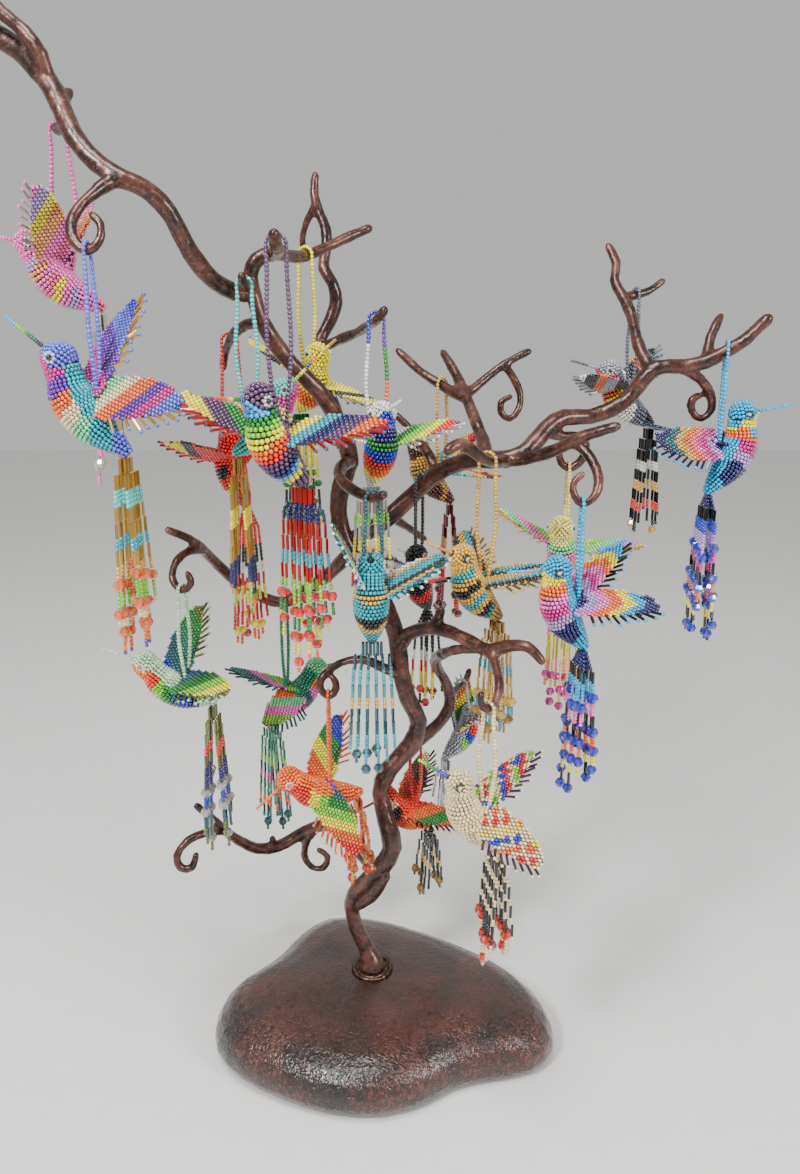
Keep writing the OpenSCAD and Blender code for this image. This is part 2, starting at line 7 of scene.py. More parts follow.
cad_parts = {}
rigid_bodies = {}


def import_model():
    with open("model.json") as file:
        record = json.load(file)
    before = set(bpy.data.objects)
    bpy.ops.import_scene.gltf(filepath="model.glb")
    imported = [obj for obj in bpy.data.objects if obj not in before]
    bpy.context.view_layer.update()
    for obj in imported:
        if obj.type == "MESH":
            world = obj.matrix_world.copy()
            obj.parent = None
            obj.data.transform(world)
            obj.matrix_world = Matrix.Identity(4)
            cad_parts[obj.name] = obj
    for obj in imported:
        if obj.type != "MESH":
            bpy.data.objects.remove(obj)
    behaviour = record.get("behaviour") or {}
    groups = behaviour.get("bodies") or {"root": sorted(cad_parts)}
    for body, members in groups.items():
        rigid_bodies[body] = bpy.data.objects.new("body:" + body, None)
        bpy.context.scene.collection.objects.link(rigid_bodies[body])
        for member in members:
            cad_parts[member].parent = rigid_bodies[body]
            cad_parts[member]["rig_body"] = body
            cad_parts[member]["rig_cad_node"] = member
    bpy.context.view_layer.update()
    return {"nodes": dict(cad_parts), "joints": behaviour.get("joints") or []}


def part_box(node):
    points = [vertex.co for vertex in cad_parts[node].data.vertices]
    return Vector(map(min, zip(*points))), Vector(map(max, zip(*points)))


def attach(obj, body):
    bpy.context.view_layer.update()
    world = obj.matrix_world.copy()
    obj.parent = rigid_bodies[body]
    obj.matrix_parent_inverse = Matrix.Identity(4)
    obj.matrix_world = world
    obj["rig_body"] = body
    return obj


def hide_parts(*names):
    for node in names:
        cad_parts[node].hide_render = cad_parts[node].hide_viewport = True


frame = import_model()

# The camera stands a good half metre in front of the trunk, a little above the middle
# twigs, and looks down at the tree.
lens_view = bpy.data.cameras.new("view")
lens_view.sensor_fit = "VERTICAL"
lens_view.sensor_height = 24
lens_view.lens = 18.83
lens_view.clip_start = 0.01
camera = bpy.data.objects.new("camera", lens_view)
camera.location = (0.022, -0.630, 0.528)
camera.rotation_euler = (math.radians(75), 0, 0)
bpy.context.scene.collection.objects.link(camera)
bpy.context.scene.camera = camera


# The branches are cast metal with a dark red-brown patina, rubbed to bronze on the high
# spots. Each is a rod drawn out and bent while hot, with knots where twigs leave it, and
# they are brazed together where they meet.
def new_material(name):
    material = bpy.data.materials.new(name)
    material.use_nodes = True
    tree = material.node_tree
    return material, tree, tree.nodes["Principled BSDF"]


def feed(tree, socket, source):
    """Links an output socket to an input socket, or sets it to a fixed value."""
    if isinstance(source, bpy.types.NodeSocket):
        tree.links.new(source, socket)
    else:
        socket.default_value = source


def noise(tree, size, detail, roughness=0.55, distortion=0.0):
    place = tree.nodes.get("place") or tree.nodes.new("ShaderNodeTexCoord")
    place.name = "place"
    grain = tree.nodes.new("ShaderNodeTexNoise")
    grain.inputs["Scale"].default_value = 1 / size
    grain.inputs["Detail"].default_value = detail
    grain.inputs["Roughness"].default_value = roughness
    grain.inputs["Distortion"].default_value = distortion
    tree.links.new(place.outputs["Object"], grain.inputs["Vector"])
    return grain.outputs


def ramp(tree, source, stops):
    scale = tree.nodes.new("ShaderNodeValToRGB")
    scale.color_ramp.elements[0].position = stops[0][0]
    scale.color_ramp.elements[0].color = (*stops[0][1], 1)
    scale.color_ramp.elements[1].position = stops[-1][0]
    scale.color_ramp.elements[1].color = (*stops[-1][1], 1)
    for position, colour in stops[1:-1]:
        scale.color_ramp.elements.new(position).color = (*colour, 1)
    tree.links.new(source, scale.inputs["Fac"])
    return scale.outputs["Color"]


def mixed(tree, share, first, second, blend="MIX"):
    mix = tree.nodes.new("ShaderNodeMix")
    mix.data_type = "RGBA"
    mix.blend_type = blend
    feed(tree, mix.inputs["Factor"], share)
    feed(tree, mix.inputs["A"], first)
    feed(tree, mix.inputs["B"], second)
    return mix.outputs["Result"]


def times(tree, first, second):
    product = tree.nodes.new("ShaderNodeMath")
    product.operation = "MULTIPLY"
    feed(tree, product.inputs[0], first)
    feed(tree, product.inputs[1], second)
    return product.outputs["Value"]


def surface(tree, shader, **sources):
    """Sets the shader's sockets, such as base_color for Base Color."""
    for name, source in sources.items():
        feed(tree, shader.inputs[name.replace("_", " ").title().replace("Ior", "IOR")], source)


def bumped(tree, shader, source, depth, strength, socket="Normal"):
    bump = tree.nodes.new("ShaderNodeBump")
    bump.inputs["Distance"].default_value = depth
    bump.inputs["Strength"].default_value = strength
    tree.links.new(source, bump.inputs["Height"])
    tree.links.new(bump.outputs["Normal"], shader.inputs[socket])


bark, tree, shader = new_material("patinated bark")
mottle = noise(tree, 0.016, 6, 0.62, 0.4)
patina = ramp(tree, mottle["Fac"], [(0.3, (0.008, 0.003, 0.002)), (0.43, (0.03, 0.009, 0.006)),
    (0.55, (0.085, 0.024, 0.015)), (0.66, (0.15, 0.055, 0.038)), (0.8, (0.26, 0.13, 0.1))])
fleck = noise(tree, 0.0022, 4, 0.6)
rubbed = ramp(tree, fleck["Fac"], [(0.55, (0, 0, 0)), (0.72, (1, 1, 1))])
bronze = (0.36, 0.22, 0.16, 1)
sheen = ramp(tree, mottle["Fac"], [(0.35, (0.28, 0.28, 0.28)), (0.7, (0.42, 0.42, 0.42))])
surface(tree, shader, base_color=mixed(tree, times(tree, rubbed, 0.35), patina, bronze), roughness=sheen,
    metallic=0.4, coat_weight=0.35, coat_roughness=0.22)
bumped(tree, shader, fleck["Fac"], 0.0003, 0.4)

knot_grain = bpy.data.textures.new("knots", "CLOUDS")
knot_grain.noise_scale = 0.02
dent_grain = bpy.data.textures.new("dents", "CLOUDS")
dent_grain.noise_scale = 0.004


def only(piece):
    bpy.ops.object.select_all(action="DESELECT")
    piece.select_set(True)
    bpy.context.view_layer.objects.active = piece


def copy_of(node, name):
    """A piece of its own with the CAD node's shape, its loose triangles joined."""
    piece = frame["nodes"][node].copy()
    piece.data = piece.data.copy()
    piece.name = piece.data.name = name
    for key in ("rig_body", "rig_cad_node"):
        if key in piece:
            del piece[key]
    piece.parent = None
    bpy.context.scene.collection.objects.link(piece)
    only(piece)
    bpy.ops.object.mode_set(mode="EDIT")
    bpy.ops.mesh.select_all(action="SELECT")
    bpy.ops.mesh.remove_doubles(threshold=0.00001)
    bpy.ops.object.mode_set(mode="OBJECT")
    return piece


def shaped(piece, kind, **settings):
    """Adds one modifier and applies it."""
    modifier = piece.modifiers.new(kind.lower(), kind)
    for key, value in settings.items():
        setattr(modifier, key, value)
    only(piece)
    bpy.ops.object.modifier_apply(modifier=modifier.name)


def finished(piece, body, node, material):
    """The piece in its material, on its body, shown instead of its CAD node."""
    piece.data.materials.clear()
    piece.data.materials.append(material)
    only(piece)
    bpy.ops.object.shade_smooth()
    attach(piece, body)
    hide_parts(node)


branches = ["trunk", "arch_branch", "vine_branch", "trunk_hook", "lower_left_bough", "mid_left_branch",
    "crown_left_stem", "crown_right_stem", "top_left_bough", "right_bough", "right_lower_bough",
    "middle_stem"]
for node in branches:
    rod = copy_of(node, node + "_cast")
    shaped(rod, "REMESH", mode="VOXEL", voxel_size=0.0013)
    shaped(rod, "SMOOTH", factor=0.5, iterations=8)
    shaped(rod, "DISPLACE", texture=knot_grain, texture_coords="GLOBAL", strength=0.002, mid_level=0.55)
    shaped(rod, "DISPLACE", texture=dent_grain, texture_coords="GLOBAL", strength=0.0003, mid_level=0.5)
    finished(rod, "stand", node, bark)


# The base is one pebble-shaped casting. Its sides are hammered all over and its top is
# planished smoother, under a glossy dark red and black patina with bronze rubbed through.
def remapped(tree, source, start, end, low, high):
    """A number between start and end, carried over to between low and high."""
    span = tree.nodes.new("ShaderNodeMapRange")
    span.inputs["From Min"].default_value = start
    span.inputs["From Max"].default_value = end
    span.inputs["To Min"].default_value = low
    span.inputs["To Max"].default_value = high
    tree.links.new(source, span.inputs["Value"])
    return span.outputs["Result"]


stone, tree, shader = new_material("hammered base patina")
clouds = noise(tree, 0.045, 5, 0.6, 0.5)
patina = ramp(tree, clouds["Fac"], [(0.34, (0.02, 0.009, 0.007)), (0.45, (0.055, 0.02, 0.014)),
    (0.56, (0.16, 0.034, 0.022)), (0.68, (0.2, 0.055, 0.037)), (0.8, (0.06, 0.025, 0.018))])
fleck = noise(tree, 0.0016, 3, 0.6)
rubbed = ramp(tree, fleck["Fac"], [(0.6, (0, 0, 0)), (0.75, (1, 1, 1))])
base_top = (0, 0, 0.045)
from_collar = tree.nodes.new("ShaderNodeVectorMath")
from_collar.operation = "DISTANCE"
feed(tree, from_collar.inputs[0], tree.nodes["place"].outputs["Object"])
feed(tree, from_collar.inputs[1], base_top)
halo = remapped(tree, from_collar.outputs["Value"], 0.015, 0.095, 0.8, 0.12)
bronze = (0.26, 0.14, 0.08, 1)
worn = mixed(tree, times(tree, halo, rubbed), patina, bronze)

facing = tree.nodes.new("ShaderNodeNewGeometry")
split = tree.nodes.new("ShaderNodeSeparateXYZ")
feed(tree, split.inputs["Vector"], facing.outputs["Normal"])
upward = remapped(tree, split.outputs["Z"], 0.8, 1, 0, 0.72)
smoke_brown = (0.05, 0.026, 0.021, 1)
planished = mixed(tree, upward, worn, smoke_brown)

hammer = tree.nodes.new("ShaderNodeTexVoronoi")
hammer.feature = "SMOOTH_F1"
hammer.inputs["Scale"].default_value = 290
hammer.inputs["Smoothness"].default_value = 0.35
wander = noise(tree, 0.004, 3, 0.5)
uneven = mixed(tree, 0.012, tree.nodes["place"].outputs["Object"], wander["Color"])
feed(tree, hammer.inputs["Vector"], uneven)
softer_on_top = remapped(tree, split.outputs["Z"], 0.85, 0.995, 1, 0.4)
blows = times(tree, softer_on_top, hammer.outputs["Distance"])
pits = ramp(tree, blows, [(0.2, (1, 1, 1)), (0.5, (0.15, 0.12, 0.12))])
surface(tree, shader, base_color=mixed(tree, 0.9, planished, pits, "MULTIPLY"), metallic=0.3, roughness=0.3,
    coat_weight=0.9, coat_roughness=0.16)
bumped(tree, shader, blows, -0.0016, 1)
bumped(tree, shader, blows, -0.0004, 1, "Coat Normal")

pebble = copy_of("base", "base_casting")
shaped(pebble, "REMESH", mode="VOXEL", voxel_size=0.0018)
shaped(pebble, "SMOOTH", factor=0.5, iterations=5)
wave_grain = bpy.data.textures.new("waves", "CLOUDS")
wave_grain.noise_scale = 0.05
shaped(pebble, "DISPLACE", texture=wave_grain, texture_coords="GLOBAL", strength=0.0012, mid_level=0.55)
finished(pebble, "stand", "base", stone)

# The felt pad keeps the casting off the table. It is cut from sheet felt to the base's outline
# and glued underneath.
felt, tree, shader = new_material("black felt")
fibre = noise(tree, 0.0008, 5, 0.7)
shade = ramp(tree, fibre["Fac"], [(0.3, (0.006, 0.006, 0.006)), (0.75, (0.028, 0.026, 0.025))])
surface(tree, shader, base_color=shade, roughness=0.95, sheen_weight=0.4)
bumped(tree, shader, fibre["Fac"], 0.0005, 0.6)
pad = frame["nodes"]["base_pad"]
pad.data.materials.clear()
pad.data.materials.append(felt)

# The collar is a turned ring with a groove, let into the base round the trunk's foot. It is
# darkened like the rest and rubbed bright on its edges.
collar_metal, tree, shader = new_material("rubbed bronze collar")
wear = noise(tree, 0.0035, 5, 0.65)
tone = ramp(tree, wear["Fac"], [(0.35, (0.035, 0.018, 0.012)), (0.55, (0.13, 0.075, 0.05)),
    (0.72, (0.36, 0.24, 0.17))])
surface(tree, shader, base_color=tone, metallic=0.8, roughness=0.36)
bumped(tree, shader, wear["Fac"], 0.0003, 0.5)
collar = copy_of("socket_collar", "collar_ring")
shaped(collar, "BEVEL", width=0.0003, segments=2, limit_method="ANGLE")
finished(collar, "stand", "socket_collar", collar_metal)
bpy.ops.object.shade_smooth_by_angle(angle=math.radians(40))

# The stud, washer and nut under the base are plain zinc-plated hardware. They draw the
# trunk's foot down into its collar.
zinc, tree, shader = new_material("zinc plate")
spangle = noise(tree, 0.002, 4)
tone = ramp(tree, spangle["Fac"], [(0.3, (0.4, 0.41, 0.42)), (0.7, (0.62, 0.62, 0.6))])
surface(tree, shader, base_color=tone, metallic=1, roughness=0.32)
bumped(tree, shader, spangle["Fac"], 0.0001, 0.3)
for node in ["trunk_stud", "stud_washer", "stud_nut"]:
    frame["nodes"][node].data.materials.clear()
    frame["nodes"][node].data.materials.append(zinc)


# The beads are pressed and drawn glass: round seed beads, long bugle beads cut from tube,
# faceted crystals and round pearls. Each is modelled once and strung many times.
def bead_material(name, **gloss):
    material, tree, shader = new_material(name)
    # The dye attribute is each bead's colour with painted shade round its holes and painted highlights on some
    # corners.
    dye = tree.nodes.new("ShaderNodeAttribute")
    dye.attribute_name = "dye"
    streak = noise(tree, 0.0011, 3)
    tone = ramp(tree, streak["Fac"], [(0.35, (0.55, 0.55, 0.55)), (0.6, (1, 1, 1))])
    surface(tree, shader, base_color=mixed(tree, 0.3, dye.outputs["Color"], tone, "MULTIPLY"),
        coat_roughness=0.06, ior=1.52, **gloss)
    return material


seed_glass = bead_material("seed bead glass", roughness=0.22, coat_weight=0.8)
lined_glass = bead_material("silver-lined bugle glass", roughness=0.16, metallic=0.7, coat_weight=1)
crystal_glass = bead_material("cut crystal", roughness=0.06, metallic=0.2, transmission_weight=0.12,
    coat_weight=1)


def bead_shape(sides, rings, flat, glint=0.0):
    """A sphere drawn out along its hole and cut off flat at both ends. Gives its corners, its
    faces and each corner's painted light: painted shade round the hole ends, and painted
    glints and painted shade on alternate corners round the sides, as strong as glint."""
    bpy.ops.object.select_all(action="DESELECT")
    bpy.ops.mesh.primitive_uv_sphere_add(segments=sides, ring_count=rings, radius=0.5)
    shape = bpy.context.object
    bpy.ops.object.mode_set(mode="EDIT")
    bpy.ops.mesh.select_all(action="SELECT")
    bpy.ops.transform.resize(value=(1, 1, 1 / flat))
    bpy.ops.object.mode_set(mode="OBJECT")
    for vertex in shape.data.vertices:
        vertex.co.z = max(-0.5, min(0.5, vertex.co.z))
    corners = np.array([vertex.co for vertex in shape.data.vertices])
    faces = [list(face.vertices) for face in shape.data.polygons]
    bpy.data.objects.remove(shape)
    turns = np.round(np.arctan2(corners[:, 1], corners[:, 0]) * sides / (2 * math.pi))
    # The corners round the hole ends get painted shade, at half the bead's colour.
    ends = np.hypot(corners[:, 0], corners[:, 1]) < 0.2
    return corners, faces, np.where(ends, 0.5, np.where(turns % 2 == 0, 1 + glint, 1 - glint))


def bugle_shape():
    """A six-sided tube of length 1, with painted highlights down two of its edges and painted shade on the
    other four.
    """
    bpy.ops.object.select_all(action="DESELECT")
    bpy.ops.mesh.primitive_cylinder_add(vertices=6, radius=0.5, depth=1)
    shape = bpy.context.object
    corners = np.array([vertex.co for vertex in shape.data.vertices])
    faces = [list(face.vertices) for face in shape.data.polygons]
    bpy.data.objects.remove(shape)
    turns = np.round(np.arctan2(corners[:, 1], corners[:, 0]) * 3 / math.pi)
    # The two opposite edges get painted highlight streaks, the rest painted shade.
    return corners, faces, np.where(turns % 3 == 0, 1.6, 0.8)


# Every bead shape carries painted shade round its hole ends; the crystals also carry painted glints on
# alternate corners, and the bugles painted highlight streaks.
shapes = {"seed": bead_shape(6, 4, 0.72), "bugle": bugle_shape(), "crystal": bead_shape(8, 4, 0.8, 0.12),
    "pearl": bead_shape(8, 6, 0.95)}
finishes = {"seed": (seed_glass, True), "bugle": (lined_glass, False), "crystal": (crystal_glass, False),
    "pearl": (seed_glass, True)}
chance = np.random.default_rng(7)

dyes = {"white": (0.9, 0.9, 0.88), "cream": (0.94, 0.86, 0.68), "pearl": (0.74, 0.73, 0.7),
    "silver": (0.66, 0.68, 0.72), "grey": (0.42, 0.44, 0.5), "black": (0.035, 0.035, 0.045),
    "red": (0.92, 0.09, 0.06), "scarlet": (0.88, 0.2, 0.06), "maroon": (0.42, 0.04, 0.07),
    "wine": (0.55, 0.04, 0.12), "orange": (0.97, 0.45, 0.1), "peach": (0.97, 0.66, 0.42),
    "amber": (0.88, 0.45, 0.08), "gold": (0.88, 0.7, 0.3), "brass": (0.74, 0.57, 0.26),
    "brown": (0.38, 0.2, 0.08), "yellow": (1.0, 0.93, 0.1), "lemon": (0.95, 0.9, 0.52),
    "lime": (0.55, 0.84, 0.2), "sage": (0.58, 0.68, 0.46), "olive": (0.46, 0.47, 0.14),
    "green": (0.08, 0.55, 0.2), "mint": (0.5, 0.86, 0.62), "pale": (0.74, 0.88, 0.72),
    "jade": (0.05, 0.55, 0.42), "teal": (0.03, 0.4, 0.45), "aqua": (0.34, 0.8, 0.78),
    "turquoise": (0.14, 0.66, 0.72), "sky": (0.3, 0.68, 0.92), "cyan": (0.06, 0.68, 0.86),
    "blue": (0.08, 0.22, 0.76), "periwinkle": (0.42, 0.46, 0.88), "navy": (0.05, 0.06, 0.42),
    "violet": (0.45, 0.18, 0.68), "lilac": (0.72, 0.6, 0.82), "plum": (0.4, 0.26, 0.42),
    "magenta": (0.82, 0.14, 0.58), "pink": (0.96, 0.46, 0.76), "rose": (0.93, 0.42, 0.6),
    "clear": (0.84, 0.82, 0.76)}


def dye(name):
    return np.array(dyes[name]) ** 2.5


def strung(name, kind, beads, body):
    """One mesh of many beads. A bead is (centre, hole direction, width, length, colour). The dye attribute gets
    each colour with its shape's painted shade and painted highlights.
    """
    if not beads:
        return
    corners, faces, shade = shapes[kind]
    centres = np.array([b[0] for b in beads])
    holes = np.array([b[1] for b in beads], float)
    holes /= np.linalg.norm(holes, axis=1)[:, None]
    widths = np.array([b[2] for b in beads])[:, None, None]
    lengths = np.array([b[3] for b in beads])[:, None, None]
    colours = np.array([dye(b[4]) for b in beads]) * chance.uniform(0.75, 1.15, (len(beads), 1))
    spare = np.where(np.abs(holes[:, 2:3]) < 0.8, [[0.0, 0.0, 1.0]], [[0.0, 1.0, 0.0]])
    right = np.cross(holes, spare)
    right /= np.linalg.norm(right, axis=1)[:, None]
    up = np.cross(holes, right)
    spin = chance.uniform(0, 2 * math.pi, (len(beads), 1))
    right, up = np.cos(spin) * right + np.sin(spin) * up, np.cos(spin) * up - np.sin(spin) * right
    points = centres[:, None, :] + widths * (corners[None, :, 0:1] * right[:, None, :]
        + corners[None, :, 1:2] * up[:, None, :]) + lengths * corners[None, :, 2:3] * holes[:, None, :]
    step = len(corners)
    mesh = bpy.data.meshes.new(name)
    mesh.from_pydata(points.reshape(-1, 3).tolist(), [],
        [[corner + i * step for corner in face] for i in range(len(beads)) for face in faces])
    # The dye attribute holds the bead colours with painted light: darkened where the shape gives painted shade,
    # lightened towards white where it gives painted highlights.
    paint = mesh.color_attributes.new("dye", "FLOAT_COLOR", "POINT")
    dyes_with_painted_light = np.clip(colours[:, None, :], 0, 1) * np.minimum(shade, 1)[None, :, None]
    dyes_with_painted_light += (1 - dyes_with_painted_light) * np.maximum(shade - 1, 0)[None, :, None] * 0.75
    paint.data.foreach_set("color", np.dstack([dyes_with_painted_light, np.ones((len(beads), step, 1))]).ravel())
    material, soft = finishes[kind]
    mesh.materials.append(material)
    mesh.polygons.foreach_set("use_smooth", [soft] * len(mesh.polygons))
    piece = bpy.data.objects.new(name, mesh)
    bpy.context.scene.collection.objects.link(piece)
    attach(piece, body)
    return piece


# Each hummingbird is a stuffed tube of seed beads stitched in bands, with a head, a strung
# bill and a daisy of beads for each eye. Its spine runs from the tail to the head.
# Sizes are in millimetres for a bird of size 1, each spine point with the body's radius there.
spine = [(-32.6, -8.8, 2), (-30, -9, 3.2), (-21, -10.5, 6.8), (-8, -12, 10.4), (6, -10, 11), (16, -5, 8.6),
    (24, -1, 8.8)]
seed = 2.6
row = 2.25
joints = {joint["name"]: joint for joint in frame["joints"]}


def smooth_line(points, step):
    """Evenly spaced rows along a smooth curve through points, each as long as a point."""
    points = np.array(points, float)
    ends = [points[0], *points, points[-1]]
    dense = []
    for i in range(1, len(ends) - 2):
        a, b, c, d = ends[i - 1], ends[i], ends[i + 1], ends[i + 2]
        for t in np.arange(0, 1, 0.05):
            dense.append(0.5 * (2 * b + (c - a) * t + (2 * a - 5 * b + 4 * c - d) * t * t
                + (3 * b - a - 3 * c + d) * t ** 3))
    dense.append(points[-1])
    dense = np.array(dense)
    run = np.concatenate([[0], np.cumsum(np.linalg.norm(np.diff(dense[:, :3], axis=0), axis=1))])
    marks = np.arange(0, run[-1], step)
    return np.array([[np.interp(m, run, dense[:, k]) for k in range(dense.shape[1])] for m in marks])


class Bird:
    """Where a bird's parts are, from its joints, its heading and its pitch."""

    def __init__(self, name, heading, pitch, bill_pitch, size, bead):
        self.name = name
        self.size = size
        self.bead = bead
        self.pitch = math.radians(pitch)
        self.bill_way = np.array([math.cos(math.radians(bill_pitch)), 0, math.sin(math.radians(bill_pitch))])
        turn = math.radians(heading)
        cos, sin = math.cos(turn), math.sin(turn)
        self.turn = np.array([[cos, -sin, 0], [sin, cos, 0], [0, 0, 1]])
        self.hang = np.array(joints[name + "_swing"]["pos_m"]) * 1000
        self.axis = np.array(joints[name + "_swing"]["axis"])
        under_tail = (0.6 + 0.9 * math.cos(self.pitch)) * 3.2 * size
        self.tail = self.pitched(-30, -9) - np.array([0, 0, under_tail])
        self.origin = np.array(joints[name + "_tassel_swing"]["pos_m"]) * 1000 - self.turn @ self.tail

    def pitched(self, along, above):
        """A point in the bird's own upright plane, tilted with it, in millimetres."""
        return self.size * np.array([along * math.cos(self.pitch) - above * math.sin(self.pitch), 0,
            along * math.sin(self.pitch) + above * math.cos(self.pitch)])

    def placed(self, point):
        """The point's place on the tree, in metres."""
        return (self.origin + self.turn @ point) / 1000

    def aimed(self, way):
        """The direction's way round on the tree."""
        return self.turn @ way


def band(colours, share):
    """The colour that a share from 0 to 1 falls on."""
    return colours[min(len(colours) - 1, max(0, int(share * len(colours))))]


def stitch_body(bird, back, head, breast, tail, bill, eye):
    k = bird.size
    bead = seed * bird.bead
    row_step = row * bird.bead
    face_middle = bird.pitched(24, -1)
    face_room = 9.2 * k
    side = np.array([0, 1.0, 0])
    beads = []

    def ring(centre, ahead, r, slope, colour_at, keep, brick):
        """One row of beads round a centre, each colour by how far its bead faces the belly."""
        belly = np.cross(ahead, side)
        belly *= -1 if belly[2] > 0 else 1
        count = max(4, round(2 * math.pi * r / bead))
        for n in range(count):
            angle = 2 * math.pi * (n + brick) / count
            out = math.cos(angle) * belly + math.sin(angle) * side
            place = centre + r * out
            if keep(place):
                beads.append((bird.placed(place), bird.aimed(ahead + slope * out), 1.02 * bead / 1000,
                    0.98 * row * bird.bead / 1000, colour_at(math.cos(angle))))

    body = smooth_line([[*bird.pitched(along, above), r * k] for along, above, r in spine], row_step)
    for i, (x, y, z, r) in enumerate(body):
        step = body[min(i + 1, len(body) - 1)] - body[max(i - 1, 0)]
        length = np.linalg.norm(step[:3])
        share = i / (len(body) - 1)

        def body_colour(front):
            level = share + 0.05 * front
            if level > 0.22 and front > -0.35:
                return band(breast, (1 - level) / 0.78)
            return back if level > 0.14 else tail

        ring(np.array([x, y, z]), step[:3] / length, r, step[3] / length, body_colour,
            lambda place: np.linalg.norm(place - face_middle) > face_room, 0.5 * (i % 2))
    face = [(-8.2, 2.6), (-6.6, 5.8), (-3, 8.3), (0.5, 8.8), (4, 7.5), (7, 4.6), (9.4, 2)]
    for i, (along, r) in enumerate(smooth_line(np.array(face) * k, row_step)):
        slope = -0.12 * along / k

        def head_colour(front):
            return breast[0] if front > 0.45 and along > -2 * k else head

        ring(face_middle + along * bird.bill_way, bird.bill_way, r, slope, head_colour,
            lambda place: along > 0 or all(np.linalg.norm(body[:, :3] - place, axis=1) > 0.93 * body[:, 3]),
            0.5 * (i % 2))
    bill_root = 9 * k
    bill_tip = bill_root + 24 * k
    steps = int((bill_tip - bill_root) / 1.6)
    for n in range(steps):
        place = face_middle + (bill_root + (n + 0.5) * (bill_tip - bill_root) / steps) * bird.bill_way
        width = (2.9 - 0.9 * n / steps) * (0.5 + 0.5 * k)
        beads.append((bird.placed(place), bird.aimed(bird.bill_way), width / 1000, 0.0017,
            band(bill, n / steps)))
    petals = 7
    petal_ring = 2.3 * k
    for hand in (-1, 1):
        centre = face_middle + np.array([0, hand * 9.3 * k, 0]) + 1.8 * k * bird.bill_way
        outward = np.array([0, hand, 0.0])
        aside = np.cross(outward, bird.bill_way)
        for n in range(petals):
            angle = 2 * math.pi * n / petals
            petal = centre + petal_ring * (math.cos(angle) * bird.bill_way + math.sin(angle) * aside)
            beads.append((bird.placed(petal - 0.4 * outward), bird.aimed(outward), 0.0021 * k, 0.0018 * k,
                eye[0]))
        beads.append((bird.placed(centre + 0.5 * outward), bird.aimed(outward), 0.0026 * k, 0.0022 * k,
            eye[1]))
    strung(bird.name + "_body", "seed", beads, bird.name + "_bird")


# The stuffing and thread under the beads show between them, near black: partly their own dark
# colour, partly painted shade in the gaps between the beads. It fills the same body, a bead's half inside its
# skin.
thread_and_painted_shade, tree, shader = new_material("waxed thread")
twist = noise(tree, 0.0009, 3)
# This near-black tone is partly the thread's own colour and partly painted shade between the beads.
tone = ramp(tree, twist["Fac"], [(0.3, (0.01, 0.01, 0.012)), (0.7, (0.04, 0.035, 0.035))])
surface(tree, shader, base_color=tone, roughness=0.8)
bumped(tree, shader, twist["Fac"], 0.0002, 0.5)


def stuff(bird):
    core = copy_of(bird.name + "_bird", bird.name + "_stuffing")
    skin = 0.0011
    inward = [vertex.co - skin * vertex.normal for vertex in core.data.vertices]
    for vertex, place in zip(core.data.vertices, inward):
        vertex.co = place
    finished(core, bird.name + "_bird", bird.name + "_bird", thread_and_painted_shade)


# A wing is one flat sheet of brick stitch in bands or squares of colour, sewn to the back and
# edged with a fringe of bugle beads that each end in a seed bead.
def in_wing(x, y, length, chord):
    """Whether a point is inside the wing's outline, a leaf with its root at the left."""
    leaf = [(0, -0.4 * chord), (0.3 * length, -0.5 * chord), (0.75 * length, -0.42 * chord),
        (1.1 * length, -0.2 * chord), (1.12 * length, 0), (0.95 * length, 0.3 * chord),
        (0.6 * length, 0.5 * chord), (0.3 * length, 0.5 * chord), (0, 0.35 * chord)]
    return all((bx - ax) * (y - ay) - (by - ay) * (x - ax) >= 0
        for (ax, ay), (bx, by) in zip(leaf, leaf[1:] + leaf[:1]))


